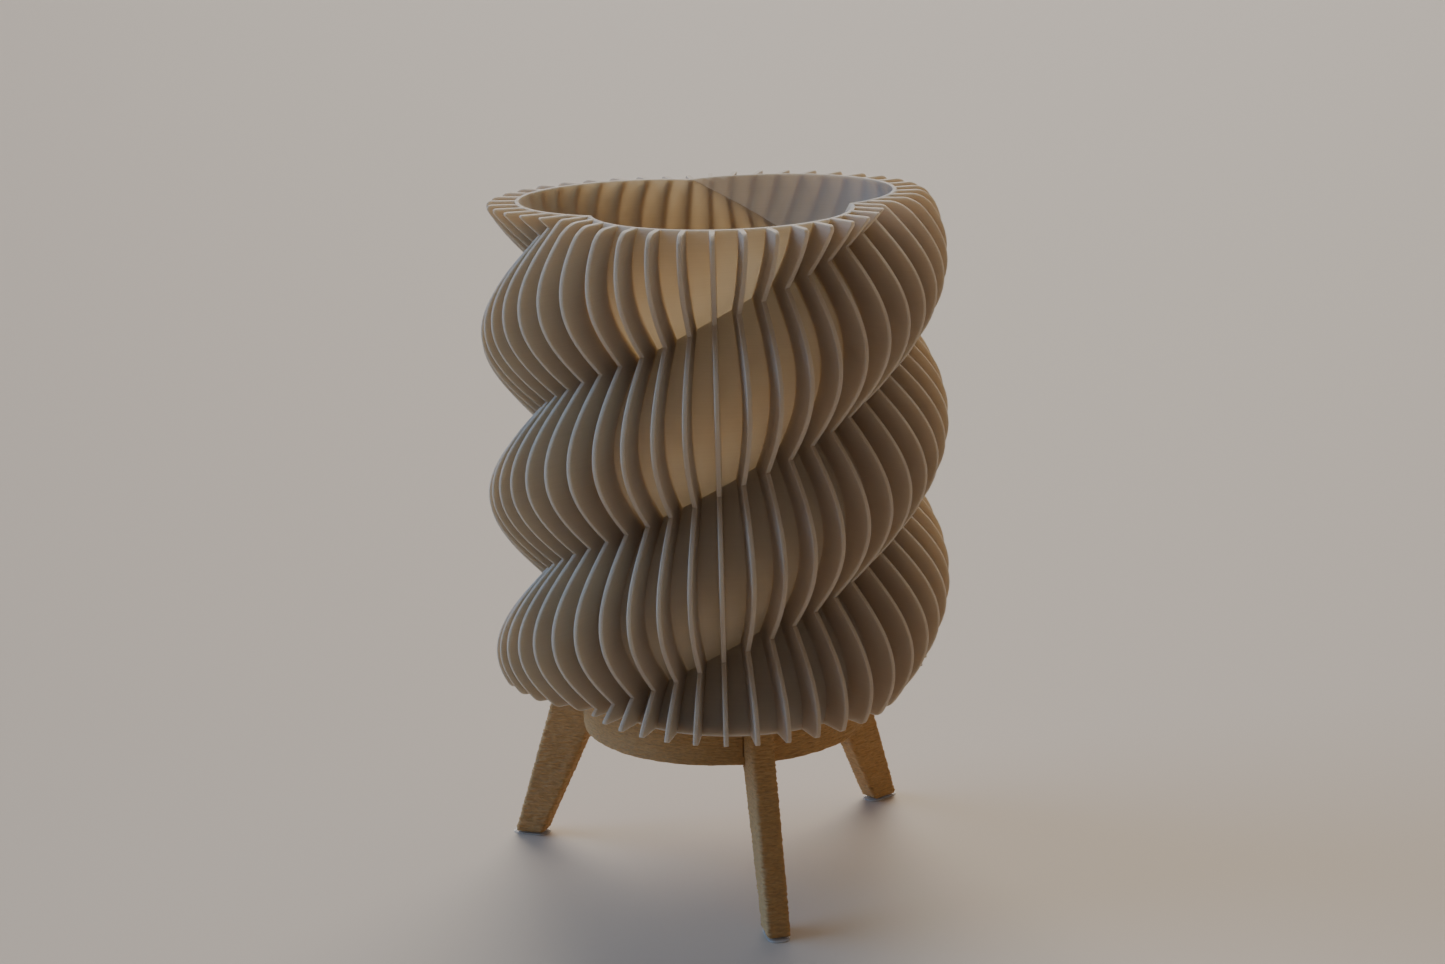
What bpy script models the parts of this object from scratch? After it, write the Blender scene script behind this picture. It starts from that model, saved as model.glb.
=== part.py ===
"""Table lamp: a finned shade with three twisted lobes, on a round base with three splayed legs.

Units are metres and +Z is up. The origin is on the floor, on the axis of the shade and the base.
-Y is the front of the lamp; the power socket and the button are at the back, on the +Y side.
The shade drops over a ring on the base. The base is a cup that opens downwards: it holds the
driver board, and carries the heat spreader, the LED board and the diffuser on its deck.
"""

import bmesh
import bpy
from math import asin, ceil, cos, floor, pi, radians, sin, sqrt
from mathutils import Matrix, Vector

# Clearance between pieces that touch or fit into each other.
GAP = 0.0003

# Heights above the floor.
PAD_HEIGHT = 0.0005
LEG_BOTTOM = PAD_HEIGHT + GAP
BASE_BOTTOM = 0.0510
BASE_TOP = 0.06785
SHADE_BOTTOM = BASE_TOP + GAP
SHADE_HEIGHT = 0.1685
SHADE_TOP = SHADE_BOTTOM + SHADE_HEIGHT

# Shade: fins stand on a thin wall, and both follow the union of three circles, which turns as it rises.
FIN_COUNT = 48
FIN_THICKNESS = 0.00165
FIN_DEPTH = 0.0110
WALL_THICKNESS = 0.0012
SHADE_FLOOR = 0.0024
LOBE_COUNT = 3
LOBE_REACH = 0.0800
LOBE_OFFSET = 0.0261
LOBE_PITCH = 0.0566
LOBE_ANGLE = 2 * pi / LOBE_COUNT
TOP_LOBE_AZIMUTH = radians(-82.4)
ROWS_PER_LOBE = 6
INNER_FIN_STEP = 2

# Base cup.
BASE_RADIUS = 0.0506
BASE_WALL = 0.0024
DECK_THICKNESS = 0.0024
DECK_UNDER = BASE_TOP - DECK_THICKNESS
RING_RADIUS = 0.0360
RING_WALL = 0.0030
RING_HEIGHT = 0.0050
KEY_WIDTH = 0.0040
KEY_REACH = 0.0013
COVER_THICKNESS = 0.0024
COVER_TOP = BASE_BOTTOM + COVER_THICKNESS
ROUND_SEGMENTS = 48
SMALL_SEGMENTS = 36

# Legs: flat radial plates, one near the front, with a tongue that enters the side of the base.
LEG_NAMES = ("front", "right", "left")
LEG_TURN = radians(11.25)
LEG_AZIMUTHS = [LEG_TURN - pi / 2 + n * LOBE_ANGLE for n in range(3)]
LEG_THICKNESS = 0.0080
LEG_EDGE = 0.0015
FOOT_OUTER = 0.08216
FOOT_INNER = 0.07094
OUTER_SPLAY = 0.319
INNER_SPLAY = 0.473
TONGUE_REACH = 0.0430
TONGUE_INSET = 0.0033
POCKET_WALL = 0.0023
PAD_LENGTH = 0.0140
PAD_WIDTH = 0.0078

# Screws: head radius, head height, shank radius, shank length.
LEG_SCREW = (0.00275, 0.0024, 0.0015, 0.0145)
COVER_SCREW = (0.00270, 0.0015, 0.00125, 0.0070)
LED_SCREW = (0.00220, 0.0015, 0.00125, 0.0075)
BOARD_SCREW = (0.00190, 0.0013, 0.0010, 0.0060)
SCREW_SIDES = 12
BORE_PAST_TIP = 0.0010
POST_SIDES = 16
COVER_POST_RADIUS = 0.0036
LED_POST_RADIUS = 0.0032
LED_POST_HEIGHT = 0.0070
STANDOFF_RADIUS = 0.0028
COVER_SCREW_RADIUS = 0.0420
COVER_SCREW_AZIMUTHS = [azimuth - radians(30) for azimuth in LEG_AZIMUTHS]
LED_SCREW_RADIUS = 0.0250
LED_SCREW_AZIMUTHS = [radians(-90) + n * LOBE_ANGLE for n in range(3)]
BOARD_SCREW_X = 0.0105
BOARD_SCREW_Y = 0.0240

# Light: heat spreader and LED board on the deck, under the diffuser dome.
SPREADER_RADIUS = 0.0324
SPREADER_THICKNESS = 0.0015
SPREADER_BOTTOM = BASE_TOP + GAP
SPREADER_TOP = SPREADER_BOTTOM + SPREADER_THICKNESS
LED_BOARD_RADIUS = 0.0295
LED_BOARD_THICKNESS = 0.0012
LED_BOARD_BOTTOM = SPREADER_TOP + GAP
LED_BOARD_TOP = LED_BOARD_BOTTOM + LED_BOARD_THICKNESS
LED_SIZE = (0.0035, 0.0028, 0.0008)
LED_RINGS = ((9, 0.0195), (4, 0.0105))
DIFFUSER_RADIUS = 0.0324
DIFFUSER_WALL = 0.0014
DIFFUSER_SKIRT = 0.0042
DIFFUSER_RISE = 0.0075
DIFFUSER_ARC_STEPS = 5
WIRE_HOLE_Y = 0.0090
WIRE_HOLE_RADIUS = 0.0035

# Electronics under the deck, at the back.
DRIVER_THICKNESS = 0.0012
DRIVER_TOP = BASE_TOP - 0.0092
DRIVER_BOTTOM = DRIVER_TOP - DRIVER_THICKNESS
DRIVER_X = 0.0140
DRIVER_FRONT = 0.0190
DRIVER_BACK = 0.0438
# Chips on the driver board: centre x and y, length, width and height. The capacitor has a radius.
DRIVER_CHIPS = (
    (-0.0015, 0.0330, 0.0060, 0.0060, 0.0030),
    (-0.0090, 0.0330, 0.0050, 0.0040, 0.0016),
    (0.0110, 0.0330, 0.0030, 0.0060, 0.0010),
)
DRIVER_CAPACITOR = (0.0055, 0.0320, 0.0022, 0.0050)
SOCKET_X = -0.0070
SOCKET_SIZE = (0.0090, 0.0078, 0.0032)
SOCKET_MOUTH = 0.0494
SOCKET_WALL = 0.0003
SOCKET_CAVITY = 0.0062
SOCKET_TONGUE = (0.00335, 0.00035, 0.0012)
BUTTON_X = 0.0070
BUTTON_Z = BASE_TOP - 0.0060
BUTTON_RADIUS = 0.0024
BUTTON_FLANGE_RADIUS = 0.0032
BUTTON_FLANGE = (0.0003, 0.0013)
BUTTON_EDGE = 0.0004
BUTTON_BACK = 0.0451
BUTTON_FRONT = 0.0514
SWITCH_SIZE = (0.0060, 0.0035, 0.0048)
SWITCH_FRONT = 0.0435
LEAD_RADIUS = 0.0007
LEAD_X = 0.0015

# Colours (linear), roughness and metallic value of each material.
FINISHES = {
    "shade_plastic": ((0.37, 0.31, 0.25), 0.55, 0.0),
    "base_plastic": ((0.55, 0.42, 0.25), 0.80, 0.0),
    "clear_pad": ((0.85, 0.86, 0.86), 0.20, 0.0),
    "screw_steel": ((0.45, 0.45, 0.46), 0.35, 1.0),
    "aluminium": ((0.75, 0.76, 0.78), 0.40, 1.0),
    "board_white": ((0.80, 0.80, 0.78), 0.45, 0.0),
    "board_green": ((0.03, 0.16, 0.07), 0.45, 0.0),
    "diffuser_plastic": ((0.86, 0.86, 0.84), 0.50, 0.0),
    "socket_steel": ((0.62, 0.62, 0.64), 0.30, 1.0),
    "button_plastic": ((0.55, 0.42, 0.25), 0.45, 0.0),
    "switch_black": ((0.03, 0.03, 0.03), 0.50, 0.0),
    "lead_red": ((0.45, 0.02, 0.02), 0.45, 0.0),
    "lead_black": ((0.02, 0.02, 0.02), 0.45, 0.0),
}


def clear_scene():
    for existing in list(bpy.data.objects):
        bpy.data.objects.remove(existing, do_unlink=True)


def finish_material(slot):
    material = bpy.data.materials.get(slot)
    if material is None:
        colour, roughness, metallic = FINISHES[slot]
        material = bpy.data.materials.new(slot)
        material.use_nodes = True
        shader = material.node_tree.nodes["Principled BSDF"]
        shader.inputs["Base Color"].default_value = (*colour, 1.0)
        shader.inputs["Roughness"].default_value = roughness
        shader.inputs["Metallic"].default_value = metallic
        material.diffuse_color = (*colour, 1.0)
    return material


def mesh_from(bm, name):
    bmesh.ops.recalc_face_normals(bm, faces=bm.faces)
    mesh = bpy.data.meshes.new(name)
    bm.to_mesh(mesh)
    bm.free()
    return mesh


def piece(name, source, slot, location=(0, 0, 0), rotation=(0, 0, 0), smooth=True):
    """Make the named object of one piece from a bmesh, or from a mesh that copies share."""
    mesh = mesh_from(source, name) if isinstance(source, bmesh.types.BMesh) else source
    if not mesh.materials:
        mesh.materials.append(finish_material(slot))
    if smooth:
        mesh.shade_smooth()
        mesh.set_sharp_from_angle(angle=radians(35))
    result = bpy.data.objects.new(name, mesh)
    result.location = location
    result.rotation_euler = rotation
    bpy.context.scene.collection.objects.link(result)
    return result


def tool(name, bm):
    """Make a guide solid that only adds to or cuts other pieces."""
    result = bpy.data.objects.new(name, mesh_from(bm, name))
    result.hide_render = True
    result.display_type = "WIRE"
    bpy.context.scene.collection.objects.link(result)
    return result


def combine(target, other, operation):
    modifier = target.modifiers.new(f"{operation.lower()}_{other.name}", "BOOLEAN")
    modifier.operation = operation
    modifier.solver = "EXACT"
    modifier.object = other


def cut(target, *cutters):
    for cutter in cutters:
        combine(target, cutter, "DIFFERENCE")


# ---------------------------------------------------------------- shapes

def add_loft(bm, rings, matrix=None, closed=False):
    """Bridge rings of points, and cap both ends unless the last ring joins the first."""
    rows = []
    for ring in rings:
        points = [Vector(point) for point in ring]
        if matrix is not None:
            points = [matrix @ point for point in points]
        rows.append([bm.verts.new(point) for point in points])
    sides = len(rows[0])
    pairs = list(zip(rows, rows[1:]))
    if closed:
        pairs.append((rows[-1], rows[0]))
    for low, high in pairs:
        for n in range(sides):
            m = (n + 1) % sides
            bm.faces.new((low[n], low[m], high[m], high[n]))
    if not closed:
        bm.faces.new(list(reversed(rows[0])))
        bm.faces.new(rows[-1])


def circle(radius, height, sides):
    turns = [2 * pi * n / sides for n in range(sides)]
    return [(radius * cos(turn), radius * sin(turn), height) for turn in turns]


def add_turned(bm, outline, sides, matrix=None, closed=False):
    """Turn an outline of (radius, height) points about Z; it runs up the outside."""
    add_loft(bm, [circle(radius, height, sides) for radius, height in outline], matrix, closed)


def add_prism(bm, outline, low, high, matrix=None):
    add_loft(bm, [[(x, y, z) for x, y in outline] for z in (low, high)], matrix)


def add_box(bm, low, high, matrix=None):
    outline = [(low[0], low[1]), (high[0], low[1]), (high[0], high[1]), (low[0], high[1])]
    add_prism(bm, outline, low[2], high[2], matrix)


def rounded_outline(length, width, radius, steps=4):
    """Give the outline of a rectangle with round corners, centred on the origin."""
    points = []
    for corner, (side_x, side_y) in enumerate(((1, 1), (-1, 1), (-1, -1), (1, -1))):
        centre_x = side_x * (length / 2 - radius)
        centre_y = side_y * (width / 2 - radius)
        for n in range(steps + 1):
            turn = pi / 2 * (corner + n / steps)
            points.append((centre_x + radius * cos(turn), centre_y + radius * sin(turn)))
    return points


def radial(azimuth):
    """Map a frame with X pointing outwards at the azimuth to the lamp's frame."""
    return Matrix.Rotation(azimuth, 4, "Z")


def backwards(x, y, z):
    """Map a frame with Z pointing to the back of the lamp, +Y, to the lamp's frame."""
    return Matrix.Translation((x, y, z)) @ Matrix.Rotation(-pi / 2, 4, "X")


# ---------------------------------------------------------------- shade

def lobe_radius(phase):
    """Give the fins' outer radius at an angle from the middle of a lobe."""
    circle_radius = LOBE_REACH - LOBE_OFFSET
    across = LOBE_OFFSET * sin(phase)
    return LOBE_OFFSET * cos(phase) + sqrt(circle_radius ** 2 - across ** 2)


def twist_height(azimuth, phase):
    """Give the height at which this phase of the turning lobes passes the azimuth."""
    return SHADE_TOP + (azimuth - phase - TOP_LOBE_AZIMUTH) * LOBE_PITCH / LOBE_ANGLE


def twisted_skin(fin_step, section, low, high):
    """Build a closed skin whose rows run along the twist, cut flat at the low and high planes.

    section(radius) lists the (outward, sideways) points of one fin or one stretch of wall.
    """
    bm = bmesh.new()
    columns = FIN_COUNT // fin_step
    wrap_rows = LOBE_COUNT * ROWS_PER_LOBE
    row_rise = LOBE_PITCH / ROWS_PER_LOBE
    verts = {}

    def column_azimuth(column):
        return -pi / 2 + 2 * pi * column / columns

    def fin_points(column, row):
        if column == columns:
            column, row = 0, row + wrap_rows
        if (column, row) not in verts:
            azimuth = column_azimuth(column)
            step = row % ROWS_PER_LOBE
            phase = LOBE_ANGLE * (0.5 - step / ROWS_PER_LOBE)
            first = twist_height(azimuth, LOBE_ANGLE / 2)
            height = first + row * row_rise
            frame = radial(azimuth)
            points = section(lobe_radius(phase))
            verts[column, row] = [
                bm.verts.new(frame @ Vector((outward, sideways, height)))
                for outward, sideways in points
            ]
        return verts[column, row]

    for column in range(columns):
        first = twist_height(column_azimuth(column), LOBE_ANGLE / 2)
        lowest = floor((low - first) / row_rise) - 1
        highest = ceil((high - first) / row_rise) + 1
        for row in range(lowest, highest):
            here = fin_points(column, row)
            above = fin_points(column, row + 1)
            beside = fin_points(column + 1, row)[0]
            beside_above = fin_points(column + 1, row + 1)[0]
            lower = [*here, beside]
            upper = [*above, beside_above]
            for n in range(len(here)):
                bm.faces.new((lower[n], lower[n + 1], upper[n + 1], upper[n]))

    for plane, direction in ((low, -1), (high, 1)):
        geometry = [*bm.verts, *bm.edges, *bm.faces]
        result = bmesh.ops.bisect_plane(
            bm, geom=geometry, dist=0.00005, plane_co=(0, 0, plane),
            plane_no=(0, 0, direction), clear_outer=True)
        for item in result["geom_cut"]:
            if isinstance(item, bmesh.types.BMVert):
                item.co.z = plane
        rim = [edge for edge in bm.edges if edge.is_boundary
               and all(abs(vert.co.z - plane) < 1e-6 for vert in edge.verts)]
        bmesh.ops.holes_fill(bm, edges=rim, sides=0)
    return bm


def fin_section(radius):
    """Run round one fin: in along the wall side, out to the tip, across it and back."""
    root = radius - FIN_DEPTH
    half = FIN_THICKNESS / 2
    return [(root, -half), (radius, -half), (radius, half), (root, half)]


def inner_section(radius):
    return [(radius - FIN_DEPTH - WALL_THICKNESS, 0.0)]


def make_shade():
    inside = tool("shade_inside", twisted_skin(
        INNER_FIN_STEP, inner_section, SHADE_BOTTOM + SHADE_FLOOR, SHADE_TOP + 0.004))
    bm = bmesh.new()
    low = SHADE_BOTTOM - SHADE_FLOOR
    high = SHADE_BOTTOM + 2 * SHADE_FLOOR
    add_turned(bm, [(RING_RADIUS + GAP, low), (RING_RADIUS + GAP, high)], ROUND_SEGMENTS)
    hole = tool("shade_hole", bm)
    bm = bmesh.new()
    add_key(bm, GAP, low, high)
    notch = tool("shade_notch", bm)
    skin = twisted_skin(1, fin_section, SHADE_BOTTOM, SHADE_TOP)
    shade = piece("shade", skin, "shade_plastic", smooth=False)
    cut(shade, inside, hole, notch)


# ---------------------------------------------------------------- base

def add_key(bm, clearance, low, high):
    """Add the front key of the base ring, or its notch when there is clearance."""
    half = KEY_WIDTH / 2 + clearance
    front = RING_RADIUS + KEY_REACH + clearance
    add_box(bm, (-half, -front, low), (half, 0.001 - RING_RADIUS, high))


def screw_bore(bm, place, screw):
    """Add a clearance hole that starts above the screw's seat and runs past its tip."""
    radius = screw[2] + GAP
    add_turned(bm, [(radius, -screw[3] - BORE_PAST_TIP), (radius, BORE_PAST_TIP)], SCREW_SIDES, place)


def ring_places(radius, azimuths, height, flip=False):
    """Give frames on a circle, with the shank pointing down, or up when flipped."""
    turn = Matrix.Rotation(pi if flip else 0.0, 4, "X")
    return [radial(azimuth) @ Matrix.Translation((radius, 0, height)) @ turn for azimuth in azimuths]


def leg_screw_places():
    """Give the leg screws' frames: the head is inside, and the shank points outwards."""
    seat = TONGUE_REACH - GAP - POCKET_WALL - GAP
    middle = (BASE_TOP + BASE_BOTTOM) / 2
    return [
        radial(azimuth) @ Matrix.Translation((seat, 0, middle)) @ Matrix.Rotation(-pi / 2, 4, "Y")
        for azimuth in LEG_AZIMUTHS
    ]


def cover_screw_places():
    seat = BASE_BOTTOM + COVER_SCREW[1]
    return ring_places(COVER_SCREW_RADIUS, COVER_SCREW_AZIMUTHS, seat, flip=True)


def led_screw_places():
    seat = LED_BOARD_TOP + GAP
    return ring_places(LED_SCREW_RADIUS, LED_SCREW_AZIMUTHS, seat)


def board_screw_places():
    seat = DRIVER_BOTTOM - GAP
    flip = Matrix.Rotation(pi, 4, "X")
    return [Matrix.Translation((side * BOARD_SCREW_X, BOARD_SCREW_Y, seat)) @ flip for side in (-1, 1)]


def make_bores():
    """Make the cutters that several pieces share, one tool for each kind of hole."""
    bm = bmesh.new()
    for place in leg_screw_places():
        screw_bore(bm, place, LEG_SCREW)
    leg_bores = tool("leg_bores", bm)

    bm = bmesh.new()
    for place in cover_screw_places():
        shank = COVER_SCREW[2] + GAP
        head = COVER_SCREW[0] + GAP
        bottom = -COVER_SCREW[3] - BORE_PAST_TIP
        outline = [(shank, bottom), (shank, -GAP), (head, -GAP), (head, COVER_THICKNESS)]
        add_turned(bm, outline, SCREW_SIDES, place)
    cover_bores = tool("cover_bores", bm)

    bm = bmesh.new()
    for place in led_screw_places():
        screw_bore(bm, place, LED_SCREW)
    led_bores = tool("led_bores", bm)

    bm = bmesh.new()
    for place in board_screw_places():
        screw_bore(bm, place, BOARD_SCREW)
    board_bores = tool("board_bores", bm)

    bm = bmesh.new()
    outline = [(WIRE_HOLE_RADIUS, DECK_UNDER - 0.001), (WIRE_HOLE_RADIUS, LED_BOARD_BOTTOM - GAP / 2)]
    add_turned(bm, outline, POST_SIDES, Matrix.Translation((0, WIRE_HOLE_Y, 0)))
    wire_hole = tool("wire_hole", bm)
    return leg_bores, cover_bores, led_bores, board_bores, wire_hole


def add_inner_posts(bm):
    """Add what hangs from the deck: leg pockets, screw posts and the driver board's stand-offs."""
    buried = DECK_UNDER + 0.001
    post_bottom = COVER_TOP + GAP
    pocket_inner = TONGUE_REACH - GAP - POCKET_WALL
    pocket_half = LEG_THICKNESS / 2 + GAP + POCKET_WALL
    for azimuth in LEG_AZIMUTHS:
        add_box(bm, (pocket_inner, -pocket_half, post_bottom),
                (BASE_RADIUS - 0.0012, pocket_half, buried), radial(azimuth))
    for azimuth in COVER_SCREW_AZIMUTHS:
        place = radial(azimuth) @ Matrix.Translation((COVER_SCREW_RADIUS, 0, 0))
        add_turned(bm, [(COVER_POST_RADIUS, post_bottom), (COVER_POST_RADIUS, buried)], POST_SIDES, place)
    for azimuth in LED_SCREW_AZIMUTHS:
        place = radial(azimuth) @ Matrix.Translation((LED_SCREW_RADIUS, 0, 0))
        outline = [(LED_POST_RADIUS, BASE_TOP - LED_POST_HEIGHT), (LED_POST_RADIUS, buried)]
        add_turned(bm, outline, POST_SIDES, place)
    for side in (-1, 1):
        place = Matrix.Translation((side * BOARD_SCREW_X, BOARD_SCREW_Y, 0))
        outline = [(STANDOFF_RADIUS, DRIVER_TOP + GAP), (STANDOFF_RADIUS, buried)]
        add_turned(bm, outline, POST_SIDES, place)


def add_side_openings(bm):
    """Add the cutters of the base's side: three leg slots, the socket's window and the button's hole."""
    half = LEG_THICKNESS / 2 + GAP
    slot_low = BASE_BOTTOM + TONGUE_INSET - GAP
    slot_high = BASE_TOP - TONGUE_INSET + GAP
    for azimuth in LEG_AZIMUTHS:
        profile = [
            (TONGUE_REACH - GAP, COVER_TOP - 0.001), (BASE_RADIUS - BASE_WALL - 0.0002, COVER_TOP - 0.001),
            (BASE_RADIUS - BASE_WALL - 0.0002, slot_low), (BASE_RADIUS + 0.002, slot_low),
            (BASE_RADIUS + 0.002, slot_high), (TONGUE_REACH - GAP, slot_high),
        ]
        rings = [[(x, side * half, z) for x, z in profile] for side in (1, -1)]
        add_loft(bm, rings, radial(azimuth))
    width, _, height = SOCKET_SIZE
    outline = rounded_outline(width + 2 * GAP, height + 2 * GAP, height / 2)
    socket_z = DRIVER_TOP + GAP + height / 2
    inside = BASE_RADIUS - 2 * BASE_WALL
    add_prism(bm, outline, 0.0, 3 * BASE_WALL, backwards(SOCKET_X, inside, socket_z))
    button_hole = [(BUTTON_RADIUS + GAP, 0.0), (BUTTON_RADIUS + GAP, 3 * BASE_WALL)]
    add_turned(bm, button_hole, POST_SIDES, backwards(BUTTON_X, inside, BUTTON_Z))


def make_base(leg_bores, cover_bores, led_bores, board_bores, wire_hole):
    bm = bmesh.new()
    outline = [
        (BASE_RADIUS - BASE_WALL, DECK_UNDER), (BASE_RADIUS - BASE_WALL, BASE_BOTTOM),
        (BASE_RADIUS, BASE_BOTTOM), (BASE_RADIUS, BASE_TOP),
        (RING_RADIUS, BASE_TOP), (RING_RADIUS, BASE_TOP + RING_HEIGHT),
        (RING_RADIUS - RING_WALL, BASE_TOP + RING_HEIGHT), (RING_RADIUS - RING_WALL, BASE_TOP),
    ]
    add_turned(bm, outline, ROUND_SEGMENTS)
    housing = piece("base_housing", bm, "base_plastic")

    bm = bmesh.new()
    add_inner_posts(bm)
    add_key(bm, 0.0, BASE_TOP - 0.001, BASE_TOP + RING_HEIGHT)
    combine(housing, tool("base_posts", bm), "UNION")

    bm = bmesh.new()
    add_side_openings(bm)
    cut(housing, tool("side_openings", bm), leg_bores, cover_bores, led_bores, board_bores, wire_hole)

    bm = bmesh.new()
    cover_radius = BASE_RADIUS - BASE_WALL - GAP
    add_turned(bm, [(cover_radius, BASE_BOTTOM), (cover_radius, COVER_TOP)], ROUND_SEGMENTS)
    cover = piece("bottom_cover", bm, "base_plastic")
    cut(cover, cover_bores)


# ---------------------------------------------------------------- legs

def leg_mesh():
    """Build a leg in the plane of X, outwards, and Z, with soft edges outside the base."""
    top = SHADE_BOTTOM - 2 * GAP
    side = BASE_RADIUS + GAP
    shoulder = BASE_BOTTOM - GAP
    tongue_top = BASE_TOP - TONGUE_INSET
    tongue_bottom = BASE_BOTTOM + TONGUE_INSET
    outline = [
        (FOOT_INNER, LEG_BOTTOM),
        (FOOT_OUTER, LEG_BOTTOM),
        (FOOT_OUTER - OUTER_SPLAY * (top - LEG_BOTTOM), top),
        (side, top),
        (side, tongue_top),
        (TONGUE_REACH, tongue_top),
        (TONGUE_REACH, tongue_bottom),
        (side, tongue_bottom),
        (side, shoulder),
        (FOOT_INNER - INNER_SPLAY * (shoulder - LEG_BOTTOM), shoulder),
    ]
    bm = bmesh.new()
    half = LEG_THICKNESS / 2
    add_loft(bm, [[(x, side_y, z) for x, z in outline] for side_y in (half, -half)])
    bm.verts.ensure_lookup_table()
    count = len(outline)
    soft = {row * count + n for row in (0, 1) for n in (9, 0, 1, 2, 3)}
    sharp_pairs = ({3, count + 3}, {9, count + 9})
    edges = []
    for edge in bm.edges:
        ends = {vert.index for vert in edge.verts}
        if ends <= soft and ends not in sharp_pairs:
            edges.append(edge)
    bmesh.ops.bevel(bm, geom=edges, offset=LEG_EDGE, segments=2, profile=0.5, affect="EDGES")
    return mesh_from(bm, "leg")


def make_legs(leg_bores):
    shared = leg_mesh()
    bm = bmesh.new()
    add_prism(bm, rounded_outline(PAD_LENGTH, PAD_WIDTH, 0.0030), 0.0, PAD_HEIGHT)
    pad = mesh_from(bm, "foot_pad")
    pad_radius = (FOOT_INNER + FOOT_OUTER) / 2
    for name, azimuth in zip(LEG_NAMES, LEG_AZIMUTHS):
        leg = piece(f"leg_{name}", shared, "base_plastic", rotation=(0, 0, azimuth))
        cut(leg, leg_bores)
        place = radial(azimuth) @ Vector((pad_radius, 0, 0))
        piece(f"foot_pad_{name}", pad, "clear_pad", location=place, rotation=(0, 0, azimuth))


# ---------------------------------------------------------------- screws

def screw_mesh(name, sizes):
    """Build a screw with its head above Z = 0, a hexagonal recess and the shank below."""
    head_radius, head_height, shank_radius, length = sizes
    recess = head_radius * 0.45

    def hexagon(height):
        points = []
        for n in range(SCREW_SIDES):
            flat = 1.0 if n % 2 == 0 else cos(pi / 6)
            turn = 2 * pi * n / SCREW_SIDES
            points.append((recess * flat * cos(turn), recess * flat * sin(turn), height))
        return points

    rings = [
        circle(shank_radius * 0.6, -length, SCREW_SIDES),
        circle(shank_radius, -length + shank_radius * 0.6, SCREW_SIDES),
        circle(shank_radius, 0.0, SCREW_SIDES),
        circle(head_radius, 0.0, SCREW_SIDES),
        circle(head_radius, head_height * 0.7, SCREW_SIDES),
        circle(head_radius * 0.85, head_height, SCREW_SIDES),
        hexagon(head_height),
        hexagon(head_height * 0.45),
    ]
    bm = bmesh.new()
    add_loft(bm, rings)
    return mesh_from(bm, name)


def place_screws(stem, sizes, places, names):
    mesh = screw_mesh(stem, sizes)
    for place, name in zip(places, names):
        screw = piece(f"{stem}_{name}", mesh, "screw_steel")
        screw.matrix_world = place


def make_screws():
    place_screws("leg_screw", LEG_SCREW, leg_screw_places(), LEG_NAMES)
    place_screws("cover_screw", COVER_SCREW, cover_screw_places(), ("front", "right", "back"))
    place_screws("led_screw", LED_SCREW, led_screw_places(), ("front", "right", "left"))
    place_screws("driver_screw", BOARD_SCREW, board_screw_places(), ("left", "right"))


# ---------------------------------------------------------------- light

def make_light(led_bores, wire_hole):
    bm = bmesh.new()
    outline = [(SPREADER_RADIUS, SPREADER_BOTTOM), (SPREADER_RADIUS, SPREADER_TOP)]
    add_turned(bm, outline, SMALL_SEGMENTS)
    spreader = piece("heat_spreader", bm, "aluminium")
    cut(spreader, led_bores, wire_hole)

    bm = bmesh.new()
    add_turned(bm, [(LED_BOARD_RADIUS, LED_BOARD_BOTTOM), (LED_BOARD_RADIUS, LED_BOARD_TOP)], SMALL_SEGMENTS)
    board = piece("led_board", bm, "board_white")
    bm = bmesh.new()
    length, width, height = LED_SIZE
    for count, radius in LED_RINGS:
        for n in range(count):
            frame = radial(-pi / 2 + 2 * pi * (n + 0.5) / count)
            add_box(bm, (radius - width / 2, -length / 2, LED_BOARD_TOP - 0.0004),
                    (radius + width / 2, length / 2, LED_BOARD_TOP + height), frame)
    combine(board, tool("leds", bm), "UNION")
    cut(board, led_bores)
    make_diffuser()


def make_diffuser():
    """Turn a shallow dome on a straight skirt, open underneath."""
    foot = SPREADER_TOP + GAP

    def dome(radius, rise, shoulder):
        bend = (radius ** 2 + rise ** 2) / (2 * rise)
        sweep = asin(radius / bend)
        points = []
        for n in range(DIFFUSER_ARC_STEPS):
            turn = sweep * (1 - n / DIFFUSER_ARC_STEPS)
            points.append((bend * sin(turn), shoulder + rise - bend * (1 - cos(turn))))
        return points

    shoulder = foot + DIFFUSER_SKIRT
    inner_radius = DIFFUSER_RADIUS - DIFFUSER_WALL
    outer = dome(DIFFUSER_RADIUS, DIFFUSER_RISE, shoulder)
    inner = dome(inner_radius, DIFFUSER_RISE - DIFFUSER_WALL, shoulder)
    outline = [*reversed(inner), (inner_radius, foot), (DIFFUSER_RADIUS, foot), *outer]
    bm = bmesh.new()
    add_turned(bm, outline, SMALL_SEGMENTS)
    piece("diffuser", bm, "diffuser_plastic")


# ---------------------------------------------------------------- electronics

def make_driver_board(board_bores):
    bm = bmesh.new()
    add_box(bm, (-DRIVER_X, DRIVER_FRONT, DRIVER_BOTTOM), (DRIVER_X, DRIVER_BACK, DRIVER_TOP))
    board = piece("driver_board", bm, "board_green", smooth=False)
    bm = bmesh.new()
    sunk = DRIVER_TOP - DRIVER_THICKNESS / 2
    for x, y, length, width, height in DRIVER_CHIPS:
        add_box(bm, (x - length / 2, y - width / 2, sunk), (x + length / 2, y + width / 2, DRIVER_TOP + height))
    x, y, radius, height = DRIVER_CAPACITOR
    outline = [(radius, sunk), (radius, DRIVER_TOP + height)]
    add_turned(bm, outline, POST_SIDES, Matrix.Translation((x, y, 0)))
    combine(board, tool("driver_parts", bm), "UNION")
    cut(board, board_bores)


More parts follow.
